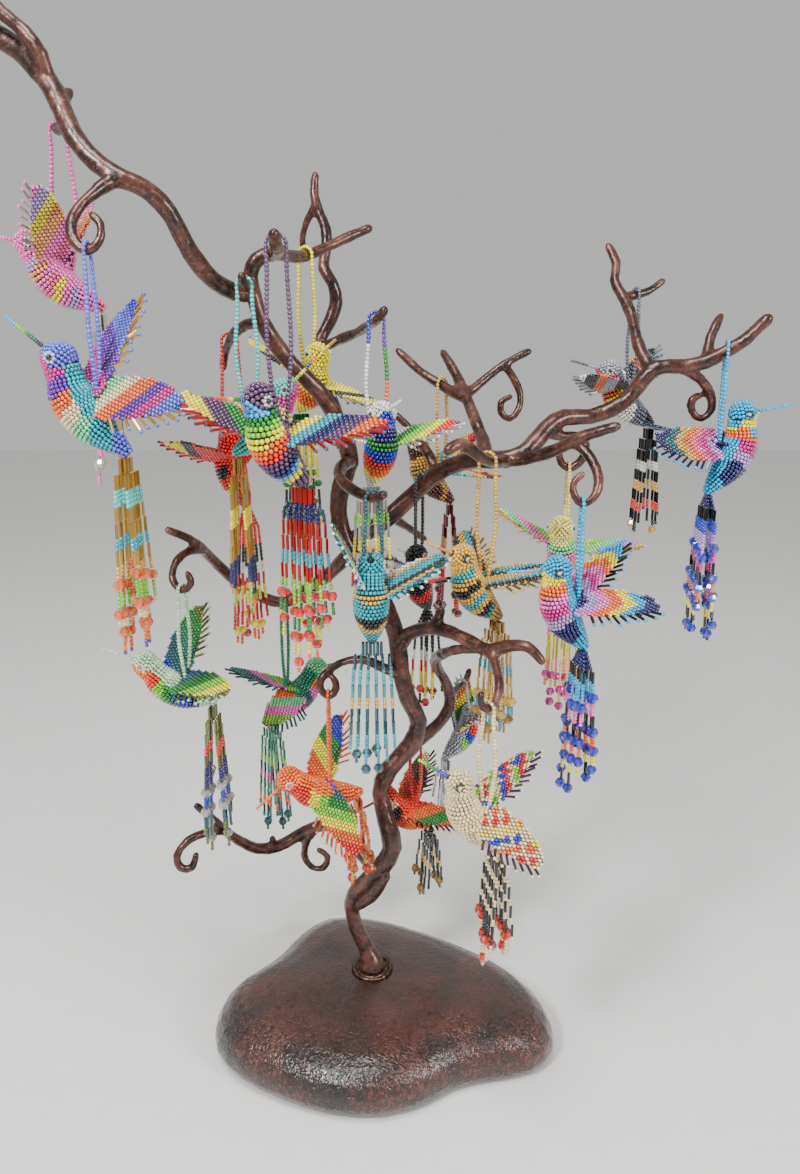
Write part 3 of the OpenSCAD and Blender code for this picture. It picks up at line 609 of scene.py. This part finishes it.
def stitch_wing(bird, hand, turn, rise, roll, stripes, bugle, tip, pattern="slant"):
    k = bird.size
    length = 54 * k
    chord = 25 * k
    fringed_side = -1 if roll > 0 or (roll == 0 and hand == "right") else 1
    pose = (Matrix.Rotation(math.radians(turn), 3, "Z") @ Matrix.Rotation(math.radians(-rise), 3, "Y")
        @ Matrix.Rotation(math.radians(roll), 3, "X"))
    pose = np.array(pose)
    root = bird.pitched(2, -5)

    def on_wing(x, y, z=0.0):
        return bird.placed(root + pose @ np.array([x, y, z]))

    bead = seed * bird.bead
    row_step = row * bird.bead
    patch = 5 * k
    slant = math.radians(48) if pattern == "slant" else 0
    along = np.array([math.cos(slant), fringed_side * math.sin(slant)])
    across = np.array([-along[1], along[0]])
    beads = []
    rows = int(1.3 * length / row_step)
    for i in range(-rows, rows):
        for j in range(-rows, rows):
            x, y = i * row_step * along + (j + 0.5 * (i % 2)) * bead * across
            if not in_wing(x, y, length, chord):
                continue
            if pattern == "slant":
                share = (x * along[0] + y * along[1] + 0.3 * chord) / (0.75 * length + 0.6 * chord)
            elif pattern == "chevron":
                share = (x + 0.9 * abs(y)) / (1.12 * length)
            elif pattern == "lengthwise":
                share = 0.5 + 0.95 * y / chord
            else:
                share = (math.floor(x / patch) * 0.37 + math.floor((y + chord) / patch) * 0.61) % 1
            beads.append((on_wing(x, y), bird.aimed(pose @ np.array([*along, 0])), 1.02 * bead / 1000,
                0.98 * row_step / 1000, band(stripes, share)))
    tubes = []
    for n in range(9):
        x = (0.36 + 0.085 * n) * length
        edge = next(share for share in np.arange(0.6, -0.6, -0.02)
            if in_wing(x, fringed_side * share * chord, length, chord))
        root_end = np.array([x, fringed_side * edge * chord, 0])
        way = np.array([0.5 + 0.06 * n, fringed_side * (0.9 - 0.07 * n), 0.12 * (n % 3 - 1)])
        way /= np.linalg.norm(way)
        run = (8.5 if n % 2 else 7.2) * k
        hole = bird.aimed(pose @ way)
        tubes.append((on_wing(*(root_end + (0.5 * run - 0.6) * way)), hole, 0.0019 * k, run / 1000, bugle))
        beads.append((on_wing(*(root_end + (run + 0.2 * k) * way)), hole, 0.0024 * k, 0.0019 * k, tip))
    strung(f"{bird.name}_{hand}_wing", "seed", beads, bird.name + "_bird")
    strung(f"{bird.name}_{hand}_fringe", "bugle", tubes, bird.name + "_bird")


# The loop is one string of seed beads, sewn to the back at both ends and laid over the twig.
# Its beads are a little smaller where they pass over the twig.
def string_loop(bird, colours):
    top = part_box(bird.name + "_bird")[1].z * 1000
    r = top - bird.hang[2] - 1
    side = np.cross([0, 0, 1], bird.axis)
    wide = max(r, 7)
    drop = bird.hang[2] - bird.origin[2] + 4
    rise = [(1.6, -drop), (0.6 * wide, -0.8 * drop), (wide, -0.5 * drop), (r, -0.15 * drop)]
    arch = [(r * math.cos(math.radians(a)), r * math.sin(math.radians(a))) for a in range(0, 181, 36)]
    outline = rise + arch + [(-x, z) for x, z in reversed(rise)]
    path = smooth_line([bird.hang + x * side + np.array([0, 0, z]) for x, z in outline], 2.6)
    beads = []
    for n in range(len(path)):
        ahead = path[min(n + 1, len(path) - 1)] - path[max(n - 1, 0)]
        width = 0.0026 if path[n][2] > bird.hang[2] - 6 else 0.0032
        beads.append((path[n] / 1000, ahead, width, 0.0024, band(colours, n / len(path))))
    strung(bird.name + "_loop", "seed", beads, bird.name + "_bird")


# A tassel is a bunch of strands knotted under the tail: bugle and seed beads, then crystals
# or pearls towards the end. A pattern reads from the tail down, as count-bead-colour.
bead_lengths = {"seed": 2.0, "bugle": 7.0, "crystal": 5.8, "pearl": 5.2}
bead_widths = {"seed": 2.6, "bugle": 2.0, "crystal": 7.2, "pearl": 6.2}
strand_gap = 4.6
flare_run = 14


def string_tassel(bird, length, strands, pattern):
    words = [word.split("-") for word in pattern.split()]
    items = [(kind, colour) for count, kind, colour in words for n in range(int(count))]
    stretch = length / sum(bead_lengths[kind] for kind, colour in items)
    beads = {"seed": [], "bugle": [], "crystal": [], "pearl": []}
    for i in range(strands):
        off = i - (strands - 1) / 2
        for back in (0, 1):
            x = 2.6 if (i + back) % 2 == 0 else -2.6
            full = length * (1 - 0.09 * abs(off) - 0.05 * ((i + back) % 2))
            splay = chance.uniform(0.6, 1.6)
            drift = chance.uniform(-2, 2)
            down = -1.0
            spare = (2 * i + 3 * back) % 5
            order = []
            for kind, colour in items:
                if kind in ("crystal", "pearl") and spare:
                    order += spare * [("seed", order[-1][1])]
                    spare = 0
                order.append((kind, colour))
            for kind, colour in order:
                size = bead_lengths[kind]
                repeats = max(1, round(stretch)) if kind == "seed" else 1
                share = size * stretch / repeats
                for n in range(repeats):
                    if down + share > full:
                        break
                    flare = min(1.0, 0.35 + 0.65 * (down + 0.5 * share) / flare_run)
                    low = (down + 0.5 * share) / length
                    place = bird.tail + np.array([x * (flare + 1.8 * splay * low),
                        (flare + 0.45 * low) * off * strand_gap + drift * low, -1.5 - down - 0.5 * share])
                    tall = share if kind in ("bugle", "seed") else size
                    beads[kind].append((bird.placed(place), (0, 0, 1), bead_widths[kind] / 1000,
                        0.96 * tall / 1000, colour))
                    down += share
    for kind in beads:
        strung(f"{bird.name}_tassel_{kind}", kind, beads[kind], bird.name + "_tassel")
    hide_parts(bird.name + "_tassel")


# The pink bird hangs at the far left with both wings up. It is pink throughout, with bands
# of peach, lilac and yellow, and its tassel is clear bugles and pink seed beads.
def make_bird(name, heading, pitch, bill_pitch, size, left, right, tassel, strands, pattern, back, head, breast,
        tail, bill, eye, left_wing, right_wing, fringe, loop, weave="slant", bead=1):
    """One bird with its tassel. left and right are each wing's turn, rise and roll in degrees,
    and a word list of colours runs from the bird's front, or a wing's root, to the far end."""
    bird = Bird(name, heading, pitch, bill_pitch, size, bead)
    stuff(bird)
    stitch_body(bird, back, head, breast.split(), tail, bill.split(), eye.split())
    stitch_wing(bird, "left", *left, left_wing.split(), *fringe.split(), weave)
    stitch_wing(bird, "right", *right, right_wing.split(), *fringe.split(), weave)
    string_loop(bird, loop.split())
    string_tassel(bird, tassel, strands, pattern)


make_bird("pink", heading=205, pitch=35, bill_pitch=10, size=0.95, left=(75, 50, 30), right=(-135, 50, -20),
    tassel=112, strands=6,
    pattern="2-bugle-clear 3-seed-pink 2-bugle-clear 3-seed-magenta 1-bugle-clear 2-seed-pink "
        "1-crystal-clear 3-seed-pink 1-crystal-clear 2-seed-rose",
    back="pink", head="pink", breast="pink lilac peach pink rose yellow pink lilac pink", tail="rose",
    bill="pink clear peach", eye="white black", left_wing="pink rose pink peach yellow lilac pink",
    right_wing="pink rose orange peach pink lilac", fringe="clear pink", loop="pink")

# The blue bird flies to the left in front of the boughs, its near wing spread in slanting
# bands from mint to blue. Its tassel is gold bugles with orange crystals.
make_bird("blue", heading=178, pitch=48, bill_pitch=40, size=1.12, left=(160, 0, 60), right=(-125, 55, 0),
    tassel=128, strands=6,
    pattern="2-bugle-gold 4-seed-aqua 2-bugle-gold 3-seed-turquoise 1-bugle-gold 1-crystal-orange "
        "4-seed-lime 1-crystal-orange 2-seed-cream 1-crystal-orange 3-seed-orange 1-crystal-orange "
        "2-seed-violet 1-crystal-orange",
    back="turquoise", head="periwinkle", breast="magenta violet orange cream mint turquoise",
    tail="periwinkle", bill="teal green lime sky", eye="white black",
    left_wing="turquoise mint cream orange violet magenta periwinkle blue",
    right_wing="violet magenta violet periwinkle blue", fringe="gold periwinkle", loop="periwinkle")

# The aqua bird looks to the right behind the rainbow one, with a magenta throat. Its tassel
# is gold bugles that end in orange and peach pearls.
make_bird("aqua", heading=0, pitch=42, bill_pitch=45, size=0.9, left=(165, 12, 20), right=(-165, 8, -30),
    tassel=105, strands=5,
    pattern="3-bugle-gold 4-seed-yellow 2-bugle-gold 4-seed-navy 1-pearl-orange 3-seed-lime 1-pearl-peach",
    back="aqua", head="aqua", breast="magenta lemon yellow mint lime peach", tail="aqua",
    bill="lime yellow blue orange", eye="white black", left_wing="mint aqua lime yellow",
    right_wing="lemon yellow magenta magenta sage olive navy navy", fringe="gold navy", loop="aqua")

# The yellow bird hangs in the crown, with black lines on its wings. Its tassel is green
# bugles and pearls with yellow and black seed beads.
make_bird("yellow", heading=300, pitch=40, bill_pitch=20, size=0.9, left=(45, -20, 10), right=(-140, 28, 0),
    tassel=100, strands=5,
    pattern="2-bugle-green 4-seed-yellow 1-pearl-green 4-seed-black 1-pearl-green 4-seed-yellow "
        "1-bugle-green 1-pearl-green",
    back="yellow", head="yellow", breast="yellow yellow orange yellow", tail="yellow", bill="yellow gold",
    eye="white black", left_wing="yellow yellow yellow black yellow navy",
    right_wing="yellow black yellow yellow", fringe="yellow blue", loop="yellow")

# The rainbow bird is stitched in bigger beads than the rest and hangs at the front of the
# crown. Its tassel is red bugles that end in red crystals.
make_bird("rainbow", heading=230, pitch=48, bill_pitch=5, size=1.1, left=(125, 8, 30), right=(-65, 20, -20),
    tassel=120, strands=7,
    pattern="1-bugle-red 4-seed-navy 2-bugle-red 3-seed-turquoise 1-bugle-red 2-seed-lime 1-crystal-red "
        "3-seed-green 1-crystal-red 3-seed-yellow 1-crystal-red 2-seed-orange 1-crystal-red",
    back="plum", head="plum", breast="sky green lime yellow orange red plum navy sky yellow", tail="plum",
    bill="sky green yellow orange red plum", eye="white black",
    left_wing="plum yellow turquoise navy plum orange red", right_wing="red red green plum yellow orange",
    fringe="red plum", loop="plum", bead=1.25)

# The red bird looks to the left under the crown, with a yellow and white wing tip. Its
# tassel starts as long strands of red, black and white seed beads.
make_bird("red", heading=160, pitch=70, bill_pitch=50, size=0.9, left=(60, 20, 20), right=(-90, 45, 0),
    tassel=108, strands=5,
    pattern="10-seed-red 5-seed-black 3-seed-white 1-bugle-red 4-seed-yellow 1-bugle-red 1-pearl-yellow "
        "3-seed-orange 1-bugle-red 1-crystal-red",
    back="red", head="red", breast="red red red black red yellow", tail="red", bill="red red black",
    eye="white black", left_wing="red red red red black yellow white", right_wing="red red red yellow red",
    fringe="red black", loop="red")

# The white bird hangs from its own twig in the middle, on a loop that is white at one side
# and coloured at the other. Its breast runs from blue to yellow.
make_bird("white", heading=295, pitch=60, bill_pitch=20, size=0.9, left=(65, 15, 20), right=(-120, 10, 0),
    tassel=90, strands=5,
    pattern="2-bugle-clear 3-seed-lime 1-bugle-white 3-seed-yellow 1-crystal-clear 4-seed-scarlet "
        "1-crystal-blue 2-bugle-clear 2-seed-red",
    back="white", head="white", breast="blue navy green blue scarlet orange yellow", tail="white",
    bill="white white", eye="white black", left_wing="white white green lime yellow red navy",
    right_wing="white green yellow red navy", fringe="white white",
    loop="white white white blue violet green orange white")

# The teal bird faces forward at the front with its wings up in a V, lined lengthwise in
# gold and black. Its tassel is teal bugles that end in crystals.
make_bird("teal", heading=270, pitch=70, bill_pitch=40, size=0.95, left=(75, 32, 30), right=(-55, 60, -30),
    tassel=96, strands=6,
    pattern="2-bugle-teal 4-seed-turquoise 1-bugle-turquoise 3-seed-gold 2-bugle-teal 4-seed-turquoise "
        "1-crystal-teal 3-seed-teal 1-crystal-teal",
    back="turquoise", head="turquoise",
    breast="turquoise black gold turquoise turquoise black gold turquoise", tail="teal", bill="black gold",
    eye="white black", left_wing="turquoise gold black turquoise turquoise gold white",
    right_wing="turquoise turquoise black gold turquoise white", fringe="turquoise white", loop="teal",
    weave="lengthwise")

# The black bird hangs low behind the trunk, black with a red and white breast. Its tassel
# is mostly black seed beads.
make_bird("black", heading=240, pitch=60, bill_pitch=20, size=0.85, left=(45, 10, 0), right=(-70, 25, 0),
    tassel=80, strands=4,
    pattern="12-seed-black 3-seed-white 1-bugle-red 4-seed-yellow 1-crystal-red 3-seed-black "
        "1-pearl-yellow",
    back="black", head="black", breast="black white black red black", tail="black", bill="black white",
    eye="white red", left_wing="black black white red black", right_wing="black white black red",
    fringe="black white", loop="black")

# The maroon and gold bird looks to the left from the middle stem, with a brass back and
# head. Its tassel is dark red bugles and crystals.
make_bird("maroon", heading=185, pitch=50, bill_pitch=35, size=0.85, left=(160, -5, 0), right=(-150, 30, 0),
    tassel=100, strands=4,
    pattern="3-bugle-wine 3-seed-gold 3-bugle-red 3-seed-wine 1-crystal-maroon 3-seed-red 1-crystal-wine "
        "1-bugle-wine 1-crystal-maroon",
    back="brass", head="brass", breast="brown gold brass turquoise gold brown maroon", tail="maroon",
    bill="brown clear aqua", eye="white black", left_wing="gold turquoise aqua gold maroon red",
    right_wing="brass turquoise gold red", fringe="red gold", loop="gold")

# The gold bird hangs from the curl at the front, with turquoise and black rows round its
# breast and along its wings. Its tassel is brass bugles and crystals.
make_bird("gold", heading=207, pitch=48, bill_pitch=25, size=0.95, left=(155, 10, 20), right=(-110, 25, 0),
    tassel=94, strands=6,
    pattern="2-bugle-brass 3-seed-gold 1-bugle-brass 3-seed-turquoise 2-bugle-gold 1-crystal-gold "
        "3-seed-turquoise 1-crystal-brass 2-bugle-brass 1-crystal-brown",
    back="gold", head="gold", breast="gold turquoise gold black gold turquoise gold black turquoise",
    tail="brass", bill="brass gold", eye="black white",
    left_wing="gold black turquoise gold gold black turquoise gold",
    right_wing="gold black turquoise gold black gold", fringe="brass gold", loop="gold", weave="lengthwise")

# The lemon bird hangs from the hook behind the cyan one with both wings up. Its tassel is
# yellow bugles that end in magenta crystals.
make_bird("lemon", heading=250, pitch=45, bill_pitch=15, size=0.9, left=(100, 5, 10), right=(-75, 30, -10),
    tassel=110, strands=5,
    pattern="2-bugle-yellow 3-seed-sky 1-bugle-yellow 3-seed-pink 2-bugle-yellow 3-seed-peach "
        "1-crystal-magenta 2-seed-gold 1-crystal-magenta 1-bugle-yellow 1-crystal-magenta",
    back="lemon", head="lemon", breast="lemon mint pink peach sky lemon", tail="lemon", bill="lemon gold",
    eye="white black", left_wing="lemon lemon lime mint sky pink lemon",
    right_wing="lemon lime pink mint lemon", fringe="yellow pink", loop="lemon")

# The cyan bird flies to the left at the front, with chevrons of lilac, pink and orange on
# its wings. Its tassel is navy seed beads, black bugles and blue crystals.
make_bird("cyan", heading=190, pitch=60, bill_pitch=0, size=1, left=(140, 5, 30), right=(-150, 30, 0),
    tassel=104, strands=6,
    pattern="5-seed-navy 1-bugle-black 3-seed-cyan 1-crystal-blue 4-seed-pink 1-bugle-black "
        "1-crystal-blue 3-seed-orange 1-crystal-blue 3-seed-yellow 1-bugle-black 1-crystal-blue "
        "3-seed-blue 1-crystal-blue",
    back="cyan", head="cyan", breast="yellow orange pink magenta lilac navy navy", tail="cyan",
    bill="cyan cyan cyan", eye="black white", left_wing="navy navy lilac pink orange yellow cyan navy",
    right_wing="navy navy lilac magenta pink orange yellow cyan", fringe="black cyan", loop="cyan",
    weave="chevron")

# The silver and black bird hangs from the tall twig with its wings back, its breast banded
# from red to grey. Its tassel is black bugles with white, gold and scarlet seed beads.
make_bird("silver_black", heading=185, pitch=40, bill_pitch=15, size=0.9, left=(40, 15, 20),
    right=(-130, 35, 0), tassel=84, strands=5,
    pattern="3-bugle-black 3-seed-white 1-bugle-black 3-seed-gold 1-bugle-black 3-seed-scarlet "
        "1-bugle-black 1-crystal-gold 1-bugle-black",
    back="grey", head="silver", breast="red orange yellow cream white grey", tail="black",
    bill="silver grey grey", eye="white black", left_wing="grey black silver orange black white",
    right_wing="silver white black orange grey black", fringe="silver grey", loop="grey")

# The second cyan bird looks to the right at the end of the bough. It has the chevrons of
# the first, with rose, gold and teal added, and a longer tassel.
make_bird("cyan_right", heading=355, pitch=62, bill_pitch=12, size=1, left=(160, 12, 10),
    right=(-155, 5, -60), tassel=110, strands=6,
    pattern="4-seed-navy 1-bugle-black 4-seed-blue 3-seed-lilac 1-crystal-blue 3-seed-magenta "
        "1-bugle-black 1-crystal-blue 3-seed-orange 1-crystal-blue 3-seed-yellow 1-bugle-black "
        "1-crystal-blue 4-seed-navy 1-crystal-cyan",
    back="cyan", head="cyan", breast="yellow orange magenta lilac navy navy", tail="cyan",
    bill="cyan cyan cyan", eye="black white", left_wing="navy navy lilac pink orange gold teal navy",
    right_wing="navy navy lilac magenta rose orange gold teal navy", fringe="navy cyan", loop="cyan",
    weave="chevron")

# The pale green bird hangs low at the left, with an orange throat and a blue and green
# breast. Its tassel is olive bugles with pearly crystals.
make_bird("pale_green", heading=180, pitch=22, bill_pitch=22, size=0.95, left=(145, 5, 25),
    right=(-110, 50, 0), tassel=114, strands=5,
    pattern="3-bugle-olive 3-seed-red 1-bugle-olive 3-seed-navy 1-crystal-pearl 3-seed-blue "
        "1-crystal-pearl 2-bugle-teal 1-crystal-pearl 4-seed-olive 1-crystal-sage",
    back="pale", head="pale", breast="orange red lime green teal blue navy", tail="pale", bill="pale pale",
    eye="white orange", left_wing="blue teal green lime yellow olive",
    right_wing="blue teal jade green olive", fringe="olive pale", loop="pale")

# The green bird hangs under the left branch, banded in orange, pink and teal. Its tassel is
# jade bugles with a few teal crystals.
make_bird("green", heading=40, pitch=25, bill_pitch=0, size=0.95, left=(150, 20, 0), right=(-150, -10, -30),
    tassel=96, strands=5,
    pattern="4-bugle-jade 3-seed-lime 1-bugle-teal 3-seed-magenta 2-bugle-jade 3-seed-orange 1-bugle-teal "
        "1-crystal-teal 3-seed-green 1-crystal-teal",
    back="jade", head="mint", breast="mint orange pink teal magenta orange lime", tail="teal",
    bill="jade teal", eye="white black", left_wing="orange lime pink teal jade",
    right_wing="jade orange mint pink lime orange", fringe="teal teal", loop="jade")

# The orange bird hangs in front of the trunk and looks down to the left, its wings banded
# through the rainbow. Its tassel is short, of amber bugles and crystals.
make_bird("orange", heading=195, pitch=10, bill_pitch=-40, size=0.95, left=(120, -40, 50),
    right=(-120, 40, 0), tassel=70, strands=5,
    pattern="2-bugle-amber 4-seed-orange 1-bugle-amber 1-crystal-amber 2-seed-gold 1-crystal-scarlet "
        "2-seed-orange 1-crystal-amber",
    back="orange", head="orange", breast="red scarlet yellow lime green orange", tail="orange",
    bill="orange orange orange", eye="white orange",
    left_wing="blue teal green lime yellow orange red scarlet",
    right_wing="red orange yellow green blue navy", fringe="orange orange", loop="orange")

# The cream bird hangs from the front arch, its wings in coloured squares. Its tassel is
# cream seed beads and black bugles that end in scarlet crystals.
make_bird("cream", heading=190, pitch=52, bill_pitch=35, size=0.95, left=(125, -15, 40),
    right=(-150, 25, 0), tassel=84, strands=7,
    pattern="2-seed-cream 1-bugle-black 2-seed-cream 1-bugle-black 2-seed-cream 1-bugle-black "
        "2-seed-cream 1-bugle-black 1-crystal-scarlet 3-seed-cream 1-crystal-scarlet 2-seed-cream "
        "1-crystal-scarlet",
    back="cream", head="cream", breast="cream cream cream cream", tail="cream", bill="blue green lime",
    eye="black white", left_wing="cream red cream orange cream blue cream yellow",
    right_wing="cream blue lime red cream", fringe="plum cream", loop="cream", weave="patch")

# The scarlet bird hangs from the vine behind the cream one, with a cream and black throat.
# Its tassel is short and black, with gold and olive beads.
make_bird("scarlet", heading=200, pitch=30, bill_pitch=-20, size=0.85, left=(130, 0, 20),
    right=(-135, 35, 0), tassel=60, strands=5,
    pattern="3-seed-black 2-bugle-black 2-seed-gold 1-bugle-black 1-crystal-brass 2-seed-olive "
        "1-crystal-olive",
    back="scarlet", head="scarlet", breast="cream black scarlet orange scarlet", tail="scarlet",
    bill="scarlet scarlet", eye="white black", left_wing="scarlet orange green scarlet",
    right_wing="orange scarlet brown cream", fringe="black gold", loop="scarlet")

# The silver bird is the smallest and hangs from a bud on the vine, its wings banded through
# the rainbow. Its tassel is a few silver bugles.
make_bird("silver", heading=20, pitch=50, bill_pitch=20, size=0.75, left=(60, 50, 0), right=(-60, 40, 0),
    tassel=50, strands=4,
    pattern="3-bugle-silver 3-seed-white 1-bugle-silver 1-crystal-silver",
    back="silver", head="silver", breast="orange red blue lime silver", tail="silver", bill="silver silver",
    eye="white black", left_wing="navy blue green yellow orange red",
    right_wing="red orange yellow green blue navy", fringe="silver white", loop="silver")


# The tree stands on a plain floor of pale paper in a light grey room, under soft square lamps
# to the left, the right and above. None of it is part of the tree.
bpy.ops.object.select_all(action="DESELECT")
bpy.ops.mesh.primitive_plane_add(size=8, location=(0, 0, 0))
floor = bpy.context.object
floor.name = "floor"
paper, tree, shader = new_material("pale paper")
fibre = noise(tree, 0.02, 3)
tone = ramp(tree, fibre["Fac"], [(0.3, (0.85, 0.84, 0.82)), (0.7, (0.88, 0.87, 0.85))])
surface(tree, shader, base_color=tone, roughness=0.9)
floor.data.materials.append(paper)


def lamp(name, place, aim, size, power):
    light = bpy.data.lights.new(name, "AREA")
    light.shape = "RECTANGLE"
    light.size = size
    light.size_y = size
    light.energy = power
    holder = bpy.data.objects.new(name, light)
    holder.location = place
    holder.rotation_euler = (Vector(aim) - Vector(place)).to_track_quat("-Z", "Y").to_euler()
    bpy.context.scene.collection.objects.link(holder)


lamp("left_lamp", (-0.75, -1.15, 1.35), (0, 0, 0.42), 0.3, 27)
lamp("right_lamp", (1.1, -0.8, 0.8), (0, 0, 0.4), 0.35, 12)
lamp("top_lamp", (-0.15, -0.45, 1.55), (0, 0, 0.2), 0.45, 12)
room = bpy.data.worlds.new("room")
room.use_nodes = True
room.node_tree.nodes["Background"].inputs["Color"].default_value = (0.86, 0.86, 0.85, 1)
room.node_tree.nodes["Background"].inputs["Strength"].default_value = 0.65
bpy.context.scene.world = room
